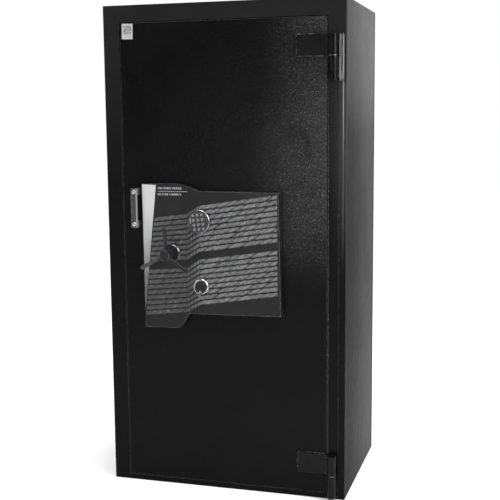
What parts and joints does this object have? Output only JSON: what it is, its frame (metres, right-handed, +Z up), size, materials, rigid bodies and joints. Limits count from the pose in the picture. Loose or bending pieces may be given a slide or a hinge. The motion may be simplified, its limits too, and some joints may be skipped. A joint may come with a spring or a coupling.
{
  "type": "gun safe",
  "caption": "Tall steel gun safe with one hinged door, a three-spoke handle that drives sliding bolts, a keypad lock, a key lock and a lined gun space.",
  "frame": {"origin": "centre of the cabinet's base, on the floor", "axes": "+Z up, +X to the hinge side, -Y out of the front of the door"},
  "size_m": [0.766, 0.614, 1.52],
  "materials": {
    "black_paint": "satin black with a fine orange-peel texture",
    "panel_paint": "satin black, worn and dusty",
    "fire_board": "matt pressed fire board",
    "carpet": "short-pile carpet",
    "rubber": "matt extruded strip",
    "bright_steel": "turned and polished",
    "chrome": "polished",
    "silver_trim": "satin silver",
    "bronze": "machined",
    "zinc_steel": "zinc plated",
    "moulded_cover": "moulded with a fine grain",
    "keypad_grey": "moulded with a fine grain",
    "label_paper": "printed film",
    "handle_grey": "semi-gloss dark grey",
    "key_caps": "light grey with dark digits"
  },
  "bodies": {
    "cabinet": {"side_panels": "panel_paint", "top_panel": "panel_paint", "base_panel": "panel_paint", "back_panel": "panel_paint", "left_jamb": "black_paint", "right_jamb": "black_paint", "top_rail": "black_paint", "bottom_sill": "black_paint", "door_stop": "black_paint", "door_seal": "rubber", "fire_boards": "fire_board", "inner_lining": "carpet", "frame_hinges": "black_paint", "hinge_pins": "bright_steel", "hinge_washers": "zinc_steel", "shelf": "carpet", "shelf_clips": "zinc_steel", "barrel_rack": "carpet", "floor_mat": "carpet"},
    "door": {"door_plate": "black_paint", "door_box": "black_paint", "door_board": "fire_board", "door_back": "carpet", "door_hinges": "black_paint", "dead_bolts": "bright_steel", "bolt_guides": "zinc_steel", "keypad_lock_case": "zinc_steel", "key_lock_case": "zinc_steel", "cover": "moulded_cover", "cover_wedge": "silver_trim", "label": "label_paper", "pull_bar": "handle_grey", "pull_lugs": "handle_grey", "pull_screws": "bright_steel", "keypad_base": "keypad_grey", "keypad_ring": "chrome", "key_ring": "chrome", "handle_ring": "handle_grey"},
    "handle": {"spindle": "zinc_steel", "handle_hub": "handle_grey", "handle_spokes": "handle_grey"},
    "side_set": {"left_carrier": "zinc_steel", "left_bolts": "bright_steel"},
    "upper_set": {"top_bolts": "zinc_steel"},
    "lower_set": {"bottom_bolts": "zinc_steel"},
    "keypad_bolt": {"swing_bolt": "bronze"},
    "key_lock_bolt": {"key_bolt": "bronze"},
    "flap": {"key_flap": "moulded_cover"},
    "button_1": {"key_1": "key_caps"},
    "button_2": {"key_2": "key_caps"},
    "button_3": {"key_3": "key_caps"},
    "button_4": {"key_4": "key_caps"},
    "button_5": {"key_5": "key_caps"},
    "button_6": {"key_6": "key_caps"},
    "button_7": {"key_7": "key_caps"},
    "button_8": {"key_8": "key_caps"},
    "button_9": {"key_9": "key_caps"},
    "button_star": {"key_star": "key_caps"},
    "button_0": {"key_0": "key_caps"},
    "button_hash": {"key_hash": "key_caps"}
  },
  "joints": [
    {"name": "door_swing", "type": "hinge", "parent": "cabinet", "child": "door", "pos_m": [0.346, -0.273, 0], "axis": [0, 0, 1], "range_deg": [0, 175]},
    {"name": "handle_turn", "type": "hinge", "parent": "door", "child": "handle", "pos_m": [-0.161, -0.3, 0.758], "axis": [0, -1, 0], "range_deg": [0, 90]},
    {"name": "side_throw", "type": "slide", "parent": "door", "child": "side_set", "axis": [-1, 0, 0], "range_m": [0, 0.022]},
    {"name": "upper_throw", "type": "slide", "parent": "door", "child": "upper_set", "axis": [0, 0, 1], "range_m": [0, 0.022]},
    {"name": "lower_throw", "type": "slide", "parent": "door", "child": "lower_set", "axis": [0, 0, -1], "range_m": [0, 0.022]},
    {"name": "keypad_bolt_swing", "type": "hinge", "parent": "door", "child": "keypad_bolt", "pos_m": [-0.088, -0.212, 0.874], "axis": [0, 1, 0], "range_deg": [0, 90]},
    {"name": "key_bolt_throw", "type": "slide", "parent": "door", "child": "key_lock_bolt", "axis": [-1, 0, 0], "range_m": [0, 0.014]},
    {"name": "flap_swing", "type": "hinge", "parent": "door", "child": "flap", "pos_m": [-0.0655, -0.29, 0.677], "axis": [0, 1, 0], "range_deg": [-100, 100]},
    {"name": "press_1", "type": "slide", "parent": "door", "child": "button_1", "axis": [0, 1, 0], "range_m": [0, 0.0012], "stiffness_N_per_m": 400},
    {"name": "press_2", "type": "slide", "parent": "door", "child": "button_2", "axis": [0, 1, 0], "range_m": [0, 0.0012], "stiffness_N_per_m": 400},
    {"name": "press_3", "type": "slide", "parent": "door", "child": "button_3", "axis": [0, 1, 0], "range_m": [0, 0.0012], "stiffness_N_per_m": 400},
    {"name": "press_4", "type": "slide", "parent": "door", "child": "button_4", "axis": [0, 1, 0], "range_m": [0, 0.0012], "stiffness_N_per_m": 400},
    {"name": "press_5", "type": "slide", "parent": "door", "child": "button_5", "axis": [0, 1, 0], "range_m": [0, 0.0012], "stiffness_N_per_m": 400},
    {"name": "press_6", "type": "slide", "parent": "door", "child": "button_6", "axis": [0, 1, 0], "range_m": [0, 0.0012], "stiffness_N_per_m": 400},
    {"name": "press_7", "type": "slide", "parent": "door", "child": "button_7", "axis": [0, 1, 0], "range_m": [0, 0.0012], "stiffness_N_per_m": 400},
    {"name": "press_8", "type": "slide", "parent": "door", "child": "button_8", "axis": [0, 1, 0], "range_m": [0, 0.0012], "stiffness_N_per_m": 400},
    {"name": "press_9", "type": "slide", "parent": "door", "child": "button_9", "axis": [0, 1, 0], "range_m": [0, 0.0012], "stiffness_N_per_m": 400},
    {"name": "press_star", "type": "slide", "parent": "door", "child": "button_star", "axis": [0, 1, 0], "range_m": [0, 0.0012], "stiffness_N_per_m": 400},
    {"name": "press_0", "type": "slide", "parent": "door", "child": "button_0", "axis": [0, 1, 0], "range_m": [0, 0.0012], "stiffness_N_per_m": 400},
    {"name": "press_hash", "type": "slide", "parent": "door", "child": "button_hash", "axis": [0, 1, 0], "range_m": [0, 0.0012], "stiffness_N_per_m": 400}
  ],
  "couplings": [
    {"joint": "side_throw", "follows": "handle_turn", "m_per_rad": 0.014},
    {"joint": "upper_throw", "follows": "handle_turn", "m_per_rad": 0.014},
    {"joint": "lower_throw", "follows": "handle_turn", "m_per_rad": 0.014},
    {"joint": "keypad_bolt_swing", "follows": "handle_turn", "ratio": 1}
  ]
}
